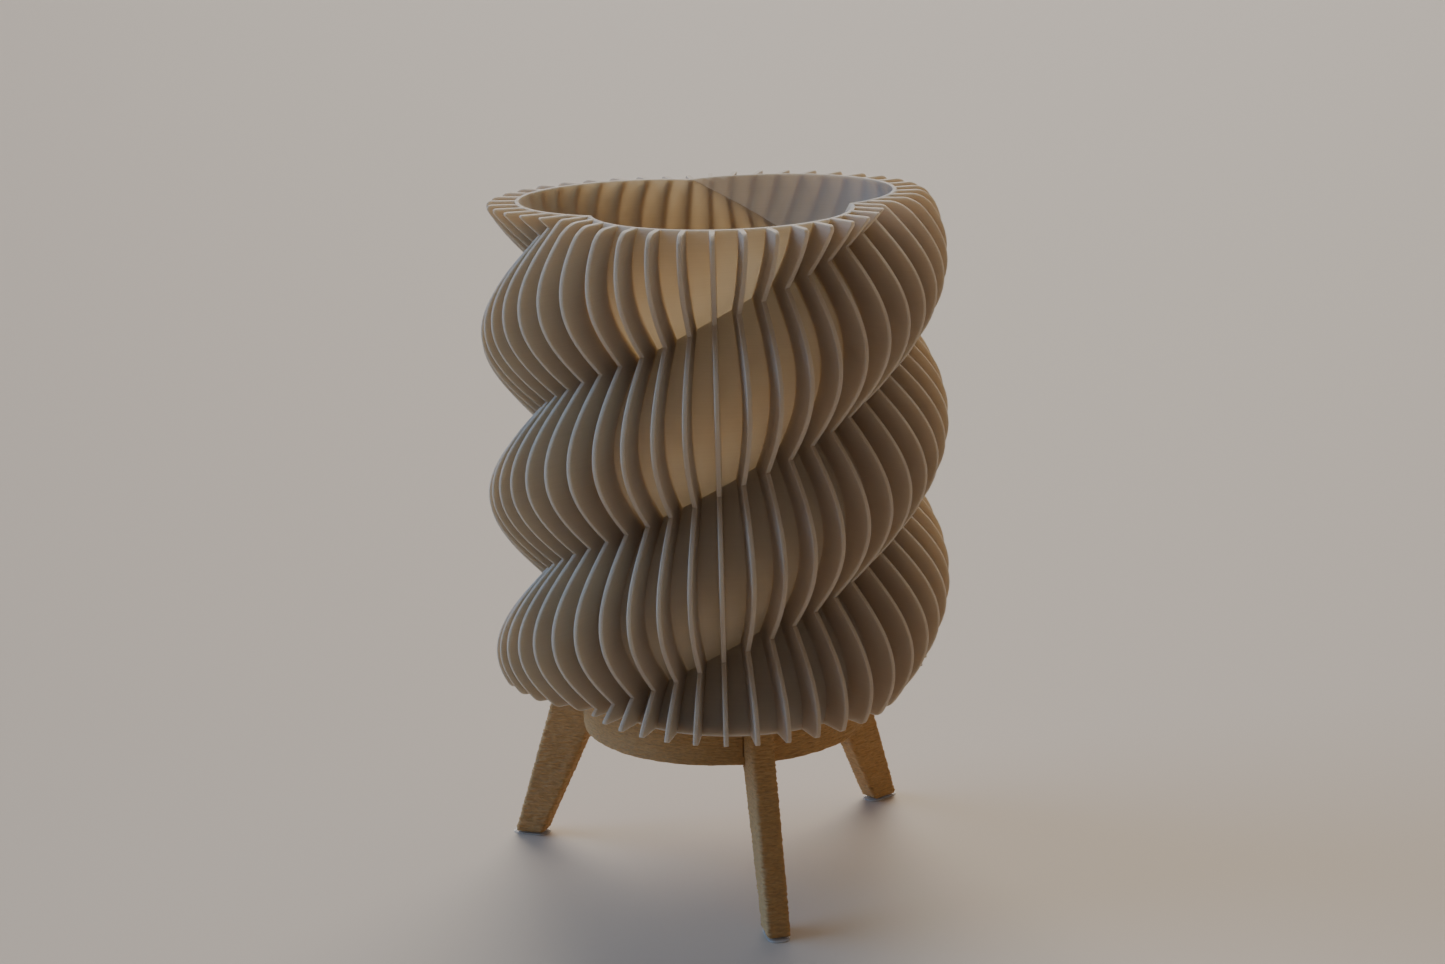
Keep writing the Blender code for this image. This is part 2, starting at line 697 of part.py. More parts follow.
def make_power_socket():
    """Make a slim power socket: a round-ended shell with a tongue inside, its mouth at the back."""
    width, depth, height = SOCKET_SIZE
    place = backwards(SOCKET_X, SOCKET_MOUTH - depth, DRIVER_TOP + GAP + height / 2)
    bm = bmesh.new()
    add_prism(bm, rounded_outline(width, height, height / 2), 0.0, depth, place)
    socket = piece("power_socket", bm, "socket_steel")
    bm = bmesh.new()
    inner = rounded_outline(width - 2 * SOCKET_WALL, height - 2 * SOCKET_WALL, height / 2 - SOCKET_WALL)
    add_prism(bm, inner, depth - SOCKET_CAVITY, depth + 0.001, place)
    cut(socket, tool("socket_cavity", bm))
    bm = bmesh.new()
    half_width, half_height, set_back = SOCKET_TONGUE
    root = depth - SOCKET_CAVITY - SOCKET_WALL
    add_box(bm, (-half_width, -half_height, root), (half_width, half_height, depth - set_back), place)
    combine(socket, tool("socket_tongue", bm), "UNION")


def make_switch():
    width, depth, height = SWITCH_SIZE
    bottom = DRIVER_TOP + GAP
    bm = bmesh.new()
    add_box(bm, (BUTTON_X - width / 2, SWITCH_FRONT - depth, bottom),
            (BUTTON_X + width / 2, SWITCH_FRONT, bottom + height))
    bmesh.ops.bevel(bm, geom=list(bm.edges), offset=0.0003, segments=1, affect="EDGES")
    piece("switch_body", bm, "switch_black", smooth=False)


def make_button():
    """Make the button with its origin on its axis, at the inner end that faces the switch."""
    length = BUTTON_FRONT - BUTTON_BACK
    flange_start, flange_end = BUTTON_FLANGE
    outline = [
        (BUTTON_RADIUS, 0.0), (BUTTON_RADIUS, flange_start),
        (BUTTON_FLANGE_RADIUS, flange_start), (BUTTON_FLANGE_RADIUS, flange_end),
        (BUTTON_RADIUS, flange_end), (BUTTON_RADIUS, length - BUTTON_EDGE),
        (BUTTON_RADIUS - BUTTON_EDGE, length), (BUTTON_RADIUS / 2, length - BUTTON_EDGE / 2),
    ]
    bm = bmesh.new()
    add_turned(bm, outline, POST_SIDES)
    piece("power_button", bm, "button_plastic",
          location=(BUTTON_X, BUTTON_BACK, BUTTON_Z), rotation=(-pi / 2, 0, 0))


def make_leads():
    """Run the two supply leads from under the LED board, through the deck, to the driver board."""
    start = LED_BOARD_BOTTOM - GAP
    end = DRIVER_TOP + GAP
    for name, side in (("red", -1), ("black", 1)):
        x = side * LEAD_X
        route = [
            (x, WIRE_HOLE_Y, start),
            (x, WIRE_HOLE_Y, BASE_TOP - 0.0010),
            (x, WIRE_HOLE_Y + 0.0012, BASE_TOP - 0.0040),
            (x * 1.3, WIRE_HOLE_Y + 0.0045, BASE_TOP - 0.0056),
            (x * 1.6, WIRE_HOLE_Y + 0.0090, BASE_TOP - 0.0056),
            (x * 1.9, WIRE_HOLE_Y + 0.0124, BASE_TOP - 0.0068),
            (x * 2.0, WIRE_HOLE_Y + 0.0130, end),
        ]
        curve = bpy.data.curves.new(f"lead_{name}", "CURVE")
        curve.dimensions = "3D"
        curve.bevel_depth = LEAD_RADIUS
        curve.bevel_resolution = 2
        curve.use_fill_caps = True
        spline = curve.splines.new("POLY")
        spline.points.add(len(route) - 1)
        for point, place in zip(spline.points, route):
            point.co = (*place, 1.0)
        curve.materials.append(finish_material(f"lead_{name}"))
        lead = bpy.data.objects.new(f"lead_{name}", curve)
        bpy.context.scene.collection.objects.link(lead)


def main():
    clear_scene()
    bores = make_bores()
    leg_bores, _, led_bores, board_bores, wire_hole = bores
    make_shade()
    make_base(*bores)
    make_legs(leg_bores)
    make_screws()
    make_light(led_bores, wire_hole)
    make_driver_board(board_bores)
    make_power_socket()
    make_switch()
    make_button()
    make_leads()


main()
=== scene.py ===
"""Looks of a table lamp with a finned, twisted shade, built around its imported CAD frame.

Units are metres, +Z is up and -Y is the front. The shade, base, legs, pads, screws, diffuser and
button are rebuilt here with finer meshes in the place of their CAD nodes. The bottom cover, the
spreader, the boards, the socket, the switch and the leads keep their CAD mesh, with softened edges.
"""

from math import asin, ceil, cos, floor, pi, radians, sin, sqrt

import bmesh
import bpy
from mathutils import Matrix, Vector, noise


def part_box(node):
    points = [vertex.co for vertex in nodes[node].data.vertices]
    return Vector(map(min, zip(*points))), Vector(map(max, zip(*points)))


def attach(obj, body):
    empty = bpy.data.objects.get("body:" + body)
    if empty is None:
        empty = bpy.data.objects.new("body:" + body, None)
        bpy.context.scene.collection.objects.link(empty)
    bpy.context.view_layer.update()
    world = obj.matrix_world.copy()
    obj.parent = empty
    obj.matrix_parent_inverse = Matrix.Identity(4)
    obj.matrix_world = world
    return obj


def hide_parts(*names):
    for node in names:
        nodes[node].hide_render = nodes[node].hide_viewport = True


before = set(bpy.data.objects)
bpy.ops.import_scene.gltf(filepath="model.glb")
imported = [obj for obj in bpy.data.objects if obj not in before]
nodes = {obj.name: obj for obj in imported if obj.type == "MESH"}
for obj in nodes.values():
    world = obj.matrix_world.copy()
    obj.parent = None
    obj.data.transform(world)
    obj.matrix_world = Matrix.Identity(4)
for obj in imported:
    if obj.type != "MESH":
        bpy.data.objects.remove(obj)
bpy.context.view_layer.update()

# ---------------------------------------------------------------- sizes that the CAD part has

GAP = 0.0003
LOW, HIGH = (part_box("shade")[n].z for n in (0, 1))
BASE_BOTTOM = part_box("base_housing")[0].z
BASE_TOP = LOW - GAP
LEG_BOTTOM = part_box("leg_front")[0].z
PAD_HEIGHT = LEG_BOTTOM - GAP

FIN_COUNT = 48
FIN_HALF = 0.00165 / 2
FIN_DEPTH = 0.0110
WALL = 0.0012
SHADE_FLOOR = 0.0024
LOBE_COUNT = 3
LOBE_REACH = 0.0800
LOBE_OFFSET = 0.0261
LOBE_PITCH = 0.0566
LOBE_ANGLE = 2 * pi / LOBE_COUNT
TOP_LOBE_AZIMUTH = radians(-82.4)

BASE_RADIUS = 0.0506
RING_RADIUS = 0.0360
KEY_HALF = 0.0020
KEY_REACH = 0.0013
LEG_NAMES = ("front", "right", "left")
LEG_AZIMUTHS = [radians(11.25) - pi / 2 + n * LOBE_ANGLE for n in range(3)]
LEG_HALF = 0.0080 / 2
FOOT_OUTER = 0.08216
FOOT_INNER = 0.07094
OUTER_SPLAY = 0.319
INNER_SPLAY = 0.473
TONGUE_INNER = 0.0420
TONGUE_INSET = 0.0033
SEAT_RADIUS = 0.0401
SEAT_HEIGHT = (BASE_TOP + BASE_BOTTOM) / 2

# Head radius, head height, shank radius and shank length of each kind of screw.
LEG_SCREW = (0.00275, 0.0024, 0.0015, 0.0145)
COVER_SCREW = (0.00270, 0.0015, 0.00125, 0.0070)
LED_SCREW = (0.00220, 0.0015, 0.00125, 0.0075)
BOARD_SCREW = (0.00190, 0.0013, 0.0010, 0.0060)
COVER_SCREW_RADIUS = 0.0420
LED_SCREW_RADIUS = 0.0250
BOARD_SCREW_X = 0.0105
BOARD_SCREW_Y = 0.0240

SPREADER_TOP = LOW + 0.0015
LED_BOARD_TOP = SPREADER_TOP + GAP + 0.0012
DRIVER_BOTTOM = BASE_TOP - 0.0092 - 0.0012


# ---------------------------------------------------------------- mesh helpers

def radial(azimuth):
    """Map a frame with X pointing outwards at the azimuth to the lamp's frame."""
    return Matrix.Rotation(azimuth, 4, "Z")


def link(name, mesh):
    result = bpy.data.objects.new(name, mesh)
    bpy.context.scene.collection.objects.link(result)
    return result


def to_object(name, bm):
    bmesh.ops.recalc_face_normals(bm, faces=bm.faces)
    mesh = bpy.data.meshes.new(name)
    bm.to_mesh(mesh)
    bm.free()
    return link(name, mesh)


def smooth(obj, angle=50):
    """Shade smooth up to an angle, and let large faces lead the normals."""
    obj.data.shade_smooth()
    obj.data.set_sharp_from_angle(angle=radians(angle))
    modifier = obj.modifiers.new("normals", "WEIGHTED_NORMAL")
    modifier.keep_sharp = True
    modifier.weight = 80
    return obj


def apply_modifiers(obj):
    graph = bpy.context.evaluated_depsgraph_get()
    mesh = bpy.data.meshes.new_from_object(obj.evaluated_get(graph))
    obj.modifiers.clear()
    obj.data = mesh


def combine(target, other, operation):
    """Join or cut target with another solid, which is then removed."""
    modifier = target.modifiers.new(operation, "BOOLEAN")
    modifier.operation = operation
    modifier.solver = "EXACT"
    modifier.object = other
    apply_modifiers(target)
    bpy.data.objects.remove(other, do_unlink=True)


def cad_copy(name, node):
    """Copy a CAD node's mesh, with its faces joined at their shared corners."""
    bm = bmesh.new()
    bm.from_mesh(nodes[node].data)
    bmesh.ops.remove_doubles(bm, verts=bm.verts, dist=1e-6)
    return to_object(name, bm)


def finish_piece(obj, body, slot, material, *replaced):
    obj.data.materials.clear()
    obj.data.materials.append(material)
    for polygon in obj.data.polygons:
        polygon.material_index = 0
    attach(obj, body)
    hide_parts(*replaced)
    return obj


def add_loft(bm, rings, matrix=None, closed=False, caps=True):
    """Bridge rings of points, and cap both ends unless the last ring joins the first."""
    rows = []
    for ring in rings:
        points = [Vector(point) for point in ring]
        if matrix is not None:
            points = [matrix @ point for point in points]
        rows.append([bm.verts.new(point) for point in points])
    pairs = list(zip(rows, rows[1:]))
    if closed:
        pairs.append((rows[-1], rows[0]))
    for low, high in pairs:
        for n in range(len(low)):
            m = (n + 1) % len(low)
            bm.faces.new((low[n], low[m], high[m], high[n]))
    if caps and not closed:
        bm.faces.new(list(reversed(rows[0])))
        bm.faces.new(rows[-1])
    return rows


def circle(radius, height, sides):
    turns = [2 * pi * n / sides for n in range(sides)]
    return [(radius * cos(turn), radius * sin(turn), height) for turn in turns]


def turned(name, outline, sides, matrix=None, closed=False):
    bm = bmesh.new()
    add_loft(bm, [circle(radius, height, sides) for radius, height in outline], matrix, closed)
    return to_object(name, bm)


def round_corner(radius, depth):
    """Give how far a rounded edge has drawn back at a depth below the face it meets."""
    if depth >= radius:
        return 0.0
    return radius - sqrt(max(0.0, radius ** 2 - (radius - depth) ** 2))


def rounded_outline(length, width, radius, steps=6):
    points = []
    for corner, (side_x, side_y) in enumerate(((1, 1), (-1, 1), (-1, -1), (1, -1))):
        centre_x = side_x * (length / 2 - radius)
        centre_y = side_y * (width / 2 - radius)
        for n in range(steps + 1):
            turn = pi / 2 * (corner + n / steps)
            points.append((centre_x + radius * cos(turn), centre_y + radius * sin(turn)))
    return points


def fuzz(point, seed=0.0):
    """Give the grain of a printed fuzzy skin, from -1 to 0: short ripples that lie along the layers."""
    first = noise.noise(Vector((point[0] / 3.0e-3 + seed, point[1] / 3.0e-3, point[2] / 0.50e-3)))
    second = noise.noise(Vector((point[0] / 1.5e-3, point[1] / 1.5e-3 + seed, point[2] / 0.40e-3)))
    return max(-1.0, min(0.0, -0.5 + 0.75 * first + 0.45 * second))


# ---------------------------------------------------------------- materials

BASE_COLOUR = (0.69, 0.42, 0.175)
PRINT_LAYER = 0.0002


def material(name, colour, roughness, metallic=0.0):
    result = bpy.data.materials.new(name)
    result.use_nodes = True
    shader = result.node_tree.nodes["Principled BSDF"]
    shader.inputs["Base Color"].default_value = (*colour, 1.0)
    shader.inputs["Roughness"].default_value = roughness
    shader.inputs["Metallic"].default_value = metallic
    result.diffuse_color = (*colour, 1.0)
    return result


def add_node(mat, kind, **values):
    result = mat.node_tree.nodes.new(f"ShaderNode{kind}")
    for key, value in values.items():
        setattr(result, key, value)
    return result


def wire(mat, source, target):
    mat.node_tree.links.new(source, target)


def shader_of(mat):
    return mat.node_tree.nodes["Principled BSDF"]


def place_texture(mat, scale):
    """Give coordinates of the object, stretched by scale."""
    where = add_node(mat, "TexCoord")
    mapping = add_node(mat, "Mapping")
    mapping.inputs["Scale"].default_value = scale
    wire(mat, where.outputs["Object"], mapping.inputs["Vector"])
    return mapping.outputs["Vector"]


def noise_value(mat, scale, detail=3.0, rough=0.55):
    texture = add_node(mat, "TexNoise")
    texture.inputs["Scale"].default_value = 1.0
    texture.inputs["Detail"].default_value = detail
    texture.inputs["Roughness"].default_value = rough
    wire(mat, place_texture(mat, scale), texture.inputs["Vector"])
    return texture.outputs["Fac"]


def ramp(mat, factor, low, high, start=0.3, end=0.7):
    """Map a factor to a colour between two colours."""
    result = add_node(mat, "ValToRGB")
    result.color_ramp.elements[0].position = start
    result.color_ramp.elements[0].color = (*low, 1.0)
    result.color_ramp.elements[1].position = end
    result.color_ramp.elements[1].color = (*high, 1.0)
    wire(mat, factor, result.inputs["Fac"])
    return result.outputs["Color"]


def spread(mat, factor, low, high, start=0.3, end=0.7):
    """Map a factor to a number between two numbers."""
    result = add_node(mat, "MapRange")
    result.inputs["From Min"].default_value = start
    result.inputs["From Max"].default_value = end
    result.inputs["To Min"].default_value = low
    result.inputs["To Max"].default_value = high
    wire(mat, factor, result.inputs["Value"])
    return result.outputs["Result"]


def multiply(mat, first, second):
    result = add_node(mat, "Mix", data_type="RGBA", blend_type="MULTIPLY")
    result.inputs["Factor"].default_value = 1.0
    wire(mat, first, result.inputs["A"])
    wire(mat, second, result.inputs["B"])
    return result.outputs["Result"]


def bump(mat, height, distance, strength=1.0, normal=None):
    result = add_node(mat, "Bump")
    result.inputs["Distance"].default_value = distance
    result.inputs["Strength"].default_value = strength
    wire(mat, height, result.inputs["Height"])
    if normal is not None:
        wire(mat, normal, result.inputs["Normal"])
    return result.outputs["Normal"]


def layer_lines(mat, layer):
    """Give the rounded ridges of printed layers, stacked along Z."""
    texture = add_node(mat, "TexWave", wave_type="BANDS", bands_direction="Z", wave_profile="SIN")
    texture.inputs["Scale"].default_value = 1.0
    texture.inputs["Distortion"].default_value = 0.0
    scale = 2 * pi / 20 / layer
    wire(mat, place_texture(mat, (scale, scale, scale)), texture.inputs["Vector"])
    return texture.outputs["Color"]


def tint(colour, factor):
    return tuple(channel * factor for channel in colour)


def speckled(name, colour, roughness, scale, contrast=0.08, metallic=0.0, depth=0.00003):
    """Make a material whose colour, roughness and surface all vary a little with one noise."""
    mat = material(name, colour, roughness, metallic)
    shader = shader_of(mat)
    grain = noise_value(mat, (scale, scale, scale), detail=5.0)
    colours = ramp(mat, grain, tint(colour, 1 - contrast), tint(colour, 1 + contrast))
    wire(mat, colours, shader.inputs["Base Color"])
    wire(mat, spread(mat, grain, roughness - 0.07, roughness + 0.07), shader.inputs["Roughness"])
    wire(mat, bump(mat, grain, depth), shader.inputs["Normal"])
    return mat


def shade_material():
    colour = (0.56, 0.475, 0.385)
    mat = material("shade_plastic_look", colour, 0.55)
    shader = shader_of(mat)
    shader.inputs["Subsurface Weight"].default_value = 0.85
    shader.inputs["Subsurface Radius"].default_value = (1.0, 0.84, 0.66)
    shader.inputs["Subsurface Scale"].default_value = 0.0060
    shader.inputs["Specular IOR Level"].default_value = 0.22
    broad = noise_value(mat, (45, 45, 45), detail=2.0)
    layers = noise_value(mat, (3, 3, 2600), detail=2.0)
    colours = multiply(mat, ramp(mat, broad, tint(colour, 0.95), tint(colour, 1.05)),
                       ramp(mat, layers, (0.95, 0.95, 0.95), (1.0, 1.0, 1.0)))
    wire(mat, colours, shader.inputs["Base Color"])
    wire(mat, spread(mat, broad, 0.48, 0.62), shader.inputs["Roughness"])
    grain = noise_value(mat, (2400, 2400, 2400), detail=2.0)
    ridges = bump(mat, layer_lines(mat, PRINT_LAYER), 0.000035)
    wire(mat, bump(mat, grain, 0.000025, normal=ridges), shader.inputs["Normal"])
    return mat


def base_material(name, fuzzy=True):
    """Make the base's plastic, with a coarse grain where its skin is fuzzy, and painted shade that darkens
    the grain's hollows.
    """
    colour = BASE_COLOUR
    mat = material(name, colour, 0.66)
    shader = shader_of(mat)
    shader.inputs["Subsurface Weight"].default_value = 0.25
    shader.inputs["Subsurface Radius"].default_value = (1.0, 0.6, 0.35)
    shader.inputs["Subsurface Scale"].default_value = 0.0010
    shader.inputs["Specular IOR Level"].default_value = 0.45
    broad = noise_value(mat, (60, 60, 60), detail=2.0)
    grain = noise_value(mat, (600, 600, 2300), detail=4.0)
    # Painted shade: the colour darkens where the grain's bump is low, most deeply in the hollows of the fuzzy
    # skin.
    depth = 0.70 if fuzzy else 0.92
    colours = multiply(mat, ramp(mat, broad, tint(colour, 0.96), tint(colour, 1.04)),
                       ramp(mat, grain, (depth, depth * 0.985, depth * 0.96), (1.0, 1.0, 1.0)))
    wire(mat, colours, shader.inputs["Base Color"])
    wire(mat, spread(mat, grain, 0.56, 0.78), shader.inputs["Roughness"])
    ridges = bump(mat, layer_lines(mat, PRINT_LAYER), 0.00003)
    wire(mat, bump(mat, grain, 0.00032 if fuzzy else 0.00003, normal=ridges), shader.inputs["Normal"])
    return mat


def pad_material():
    mat = speckled("clear_pad_look", (0.93, 0.94, 0.93), 0.22, 900, contrast=0.02, depth=0.00001)
    shader = shader_of(mat)
    shader.inputs["Alpha"].default_value = 0.4
    return mat


def diffuser_material():
    mat = speckled("diffuser_look", (0.84, 0.84, 0.81), 0.52, 1400, contrast=0.02, depth=0.00002)
    shader = shader_of(mat)
    shader.inputs["Subsurface Weight"].default_value = 0.7
    shader.inputs["Subsurface Radius"].default_value = (1.0, 0.95, 0.9)
    shader.inputs["Subsurface Scale"].default_value = 0.003
    return mat


def brushed(name, colour, roughness, along):
    """Make a metal with fine marks that run along one axis."""
    mat = material(name, colour, roughness, 1.0)
    shader = shader_of(mat)
    marks = noise_value(mat, tuple(150 if axis == along else 3500 for axis in "XYZ"), detail=4.0)
    wire(mat, ramp(mat, marks, tint(colour, 0.88), tint(colour, 1.08)), shader.inputs["Base Color"])
    wire(mat, spread(mat, marks, roughness - 0.08, roughness + 0.12), shader.inputs["Roughness"])
    wire(mat, bump(mat, marks, 0.00001), shader.inputs["Normal"])
    return mat


def board_material(name, colour, trace):
    """Make a solder mask with faint copper areas under it."""
    mat = material(name, colour, 0.42)
    shader = shader_of(mat)
    cells = add_node(mat, "TexVoronoi", feature="DISTANCE_TO_EDGE", distance="MANHATTAN")
    cells.inputs["Scale"].default_value = 1.0
    wire(mat, place_texture(mat, (420, 420, 420)), cells.inputs["Vector"])
    wire(mat, ramp(mat, cells.outputs["Distance"], trace, colour, 0.06, 0.10), shader.inputs["Base Color"])
    grain = noise_value(mat, (1800, 1800, 1800))
    wire(mat, spread(mat, grain, 0.34, 0.50), shader.inputs["Roughness"])
    wire(mat, bump(mat, cells.outputs["Distance"], 0.00002), shader.inputs["Normal"])
    return mat


shade_look = shade_material()
base_look = base_material("base_fuzzy_look")
smooth_look = base_material("base_smooth_look", fuzzy=False)
pad_look = pad_material()
diffuser_look = diffuser_material()
steel_look = brushed("screw_steel_look", (0.45, 0.45, 0.46), 0.34, "Z")
button_look = speckled("button_look", BASE_COLOUR, 0.50, 1500, contrast=0.05)


# ---------------------------------------------------------------- shade

ROWS_PER_LOBE = 24
CORNER = 0.00040
FILLET = 0.00050
HIGH_ROUND = (0.0010, 0.0038)
LOW_ROUND = 0.0011


def lobe_radius(phase):
    """Give the fins' outer radius at an angle from the middle of a lobe."""
    circle_radius = LOBE_REACH - LOBE_OFFSET
    across = LOBE_OFFSET * sin(phase)
    return LOBE_OFFSET * cos(phase) + sqrt(circle_radius ** 2 - across ** 2)


def twist_height(azimuth, phase):
    """Give the height at which this phase of the turning lobes passes the azimuth."""
    return HIGH + (azimuth - phase - TOP_LOBE_AZIMUTH) * LOBE_PITCH / LOBE_ANGLE


def top_rounding(azimuth):
    """Give the radius on the top outer corner of a fin: small where the fin leans outwards."""
    phase = (azimuth - TOP_LOBE_AZIMUTH + LOBE_ANGLE / 2) % LOBE_ANGLE - LOBE_ANGLE / 2
    step = 0.01
    slope = (lobe_radius(phase - step) - lobe_radius(phase + step)) / (2 * step) * LOBE_ANGLE / LOBE_PITCH
    lean = max(0.0, min(1.0, slope))
    return HIGH_ROUND[1] + (HIGH_ROUND[0] - HIGH_ROUND[1]) * lean


def outer_columns():
    """List the columns of the outer skin: the azimuth that sets the height, the fin's azimuth or
    None on the wall, the distance out from the root, the distance sideways, and if it is a tip."""
    columns = []
    step = 2 * pi / FIN_COUNT
    root = LOBE_REACH - FIN_DEPTH
    foot = (FIN_HALF + FILLET) / root
    half_side = [
        (FILLET * 0.293, -FIN_HALF - FILLET * 0.293, False),
        (FILLET, -FIN_HALF, False),
        (FIN_DEPTH - CORNER, -FIN_HALF, True),
        (FIN_DEPTH - CORNER * 0.5, -FIN_HALF + CORNER * 0.134, True),
        (FIN_DEPTH - CORNER * 0.134, -FIN_HALF + CORNER * 0.5, True),
        (FIN_DEPTH, -FIN_HALF + CORNER, True),
    ]
    side = half_side + [(out, -across, tip) for out, across, tip in reversed(half_side)]
    for n in range(FIN_COUNT):
        azimuth = -pi / 2 + n * step
        columns.append((azimuth - foot, None, 0.0, 0.0, False))
        for out, across, tip in side:
            columns.append((azimuth, azimuth, out, across, tip))
        columns.append((azimuth + foot, None, 0.0, 0.0, False))
        for share in (0.30, 0.50, 0.70):
            columns.append((azimuth + share * step, None, 0.0, 0.0, False))
    return columns


def inner_columns():
    count = FIN_COUNT * 4
    return [(-pi / 2 + 2 * pi * n / count, None, -WALL, 0.0, False) for n in range(count)]


def cut_level(bm, height, keep=None):
    """Cut a loop at a height; keep is 1 to drop what is above, -1 to drop what is below."""
    result = bmesh.ops.bisect_plane(
        bm, geom=[*bm.verts, *bm.edges, *bm.faces], dist=0.00003, plane_co=(0, 0, height),
        plane_no=(0, 0, keep or 1), clear_outer=keep is not None)
    for item in result["geom_cut"]:
        if isinstance(item, bmesh.types.BMVert):
            item.co.z = height


def twisted_skin(columns, low, high, levels=()):
    """Build a skin whose rows run along the twist, cut flat at the low and high planes."""
    bm = bmesh.new()
    tips = bm.verts.layers.float.new("tip")
    turns = bm.verts.layers.float.new("turn")
    wrap_rows = LOBE_COUNT * ROWS_PER_LOBE
    row_rise = LOBE_PITCH / ROWS_PER_LOBE
    radii = [lobe_radius(LOBE_ANGLE * (0.5 - step / ROWS_PER_LOBE)) for step in range(ROWS_PER_LOBE)]
    verts = {}

    def vert_at(column, row):
        if column == len(columns):
            column, row = 0, row + wrap_rows
        if (column, row) not in verts:
            azimuth, fin_azimuth, out, across, tip = columns[column]
            height = twist_height(azimuth, LOBE_ANGLE / 2) + row * row_rise
            root = radii[row % ROWS_PER_LOBE] - FIN_DEPTH
            turn = azimuth if fin_azimuth is None else fin_azimuth
            vert = bm.verts.new(radial(turn) @ Vector((root + out, across, height)))
            vert[tips] = float(tip)
            vert[turns] = turn
            verts[column, row] = vert
        return verts[column, row]

    for column, entry in enumerate(columns):
        first = twist_height(entry[0], LOBE_ANGLE / 2)
        lowest = floor((low - first) / row_rise) - 1
        highest = ceil((high - first) / row_rise) + 1
        for row in range(lowest, highest):
            bm.faces.new((vert_at(column, row), vert_at(column + 1, row),
                          vert_at(column + 1, row + 1), vert_at(column, row + 1)))
    cut_level(bm, low, keep=-1)
    cut_level(bm, high, keep=1)
    for level in levels:
        cut_level(bm, level)
    for vert in bm.verts:
        if vert[tips] < 0.99:
            continue
        back = round_corner(top_rounding(vert[turns]), high - vert.co.z)
        back += round_corner(LOW_ROUND, vert.co.z - low)
        vert.co -= radial(vert[turns]) @ Vector((back, 0, 0))
    return bm


def hole_outline():
    """Give the floor's round hole, with a notch for the key at the front."""
    radius = RING_RADIUS + GAP
    half = KEY_HALF + GAP
    front = radius + KEY_REACH
    start = asin(half / radius)
    count = 160
    points = []
    for n in range(count + 1):
        turn = -pi / 2 + start + (2 * pi - 2 * start) * n / count
        points.append((radius * cos(turn), radius * sin(turn)))
    points.append((-half, -front))
    points.append((half, -front))
    return points


def fill_level(bm, height, direction):
    rim = [edge for edge in bm.edges if edge.is_boundary
           and all(abs(vert.co.z - height) < 1e-6 for vert in edge.verts)]
    bmesh.ops.triangle_fill(bm, use_beauty=True, use_dissolve=False, edges=rim, normal=(0, 0, direction))


def make_shade():
    depths = (0.00025, 0.0007, 0.0014, 0.0023, 0.0038)
    levels = [HIGH - depth for depth in depths] + [LOW + rise for rise in (0.00015, 0.0005, 0.0011)]
    bm = twisted_skin(outer_columns(), LOW, HIGH, levels)
    inner = twisted_skin(inner_columns(), LOW + SHADE_FLOOR, HIGH)
    mesh = bpy.data.meshes.new("inner")
    inner.to_mesh(mesh)
    inner.free()
    bm.from_mesh(mesh)
    bpy.data.meshes.remove(mesh)
    outline = hole_outline()
    add_loft(bm, [[(x, y, z) for x, y in outline] for z in (LOW, LOW + SHADE_FLOOR)], caps=False)
    fill_level(bm, LOW, -1)
    fill_level(bm, LOW + SHADE_FLOOR, 1)
    fill_level(bm, HIGH, 1)
    shade = smooth(to_object("shade_finned", bm))
    finish_piece(shade, "shade", "shade_plastic", shade_look, "shade")


make_shade()


# ---------------------------------------------------------------- base

BASE_EDGE = 0.0008
BASE_GRAIN = 0.00054
BASE_ROW = 0.00024


def make_base():
    """Trim a copy of the CAD cup with a finely turned blank that has a grainy side."""
    columns = 400
    radius = BASE_RADIUS - 0.00012
    rises = [0.0, 0.0001, 0.0003]
    while rises[-1] < BASE_TOP - BASE_BOTTOM:
        rises.append(rises[-1] + BASE_ROW)
    rings = []
    for rise in rises:
        here = radius - round_corner(BASE_EDGE, rise)
        ring = []
        for x, y, z in circle(here, BASE_BOTTOM + rise, columns):
            depth = fuzz((x, y, z)) * BASE_GRAIN
            ring.append((x * (1 + depth / here), y * (1 + depth / here), z))
        rings.append(ring)
    high = BASE_BOTTOM + rises[-1]
    rings.append(circle(RING_RADIUS + 0.004, high, columns))
    rings.append(circle(RING_RADIUS + 0.004, BASE_TOP + 0.01, columns))
    bm = bmesh.new()
    add_loft(bm, rings)
    blank = to_object("base_blank", bm)
    base = cad_copy("base_cup", "base_housing")
    combine(base, blank, "INTERSECT")
    smooth(base)
    finish_piece(base, "base", "base_plastic", base_look, "base_housing")


make_base()


# ---------------------------------------------------------------- legs and pads

LEG_CORNER = 0.0015
LEG_GRAIN = 0.00054
LEG_ROW = 0.00024
LEG_TOP_ROUND = 0.0006
UPPER_LEG_ROWS = 62
# Beside the base, the innermost stretch of a leg has no grain, and the tongue starts within it.
PLAIN_STRETCH = 0.0012
TONGUE_OVERLAP = 0.0010


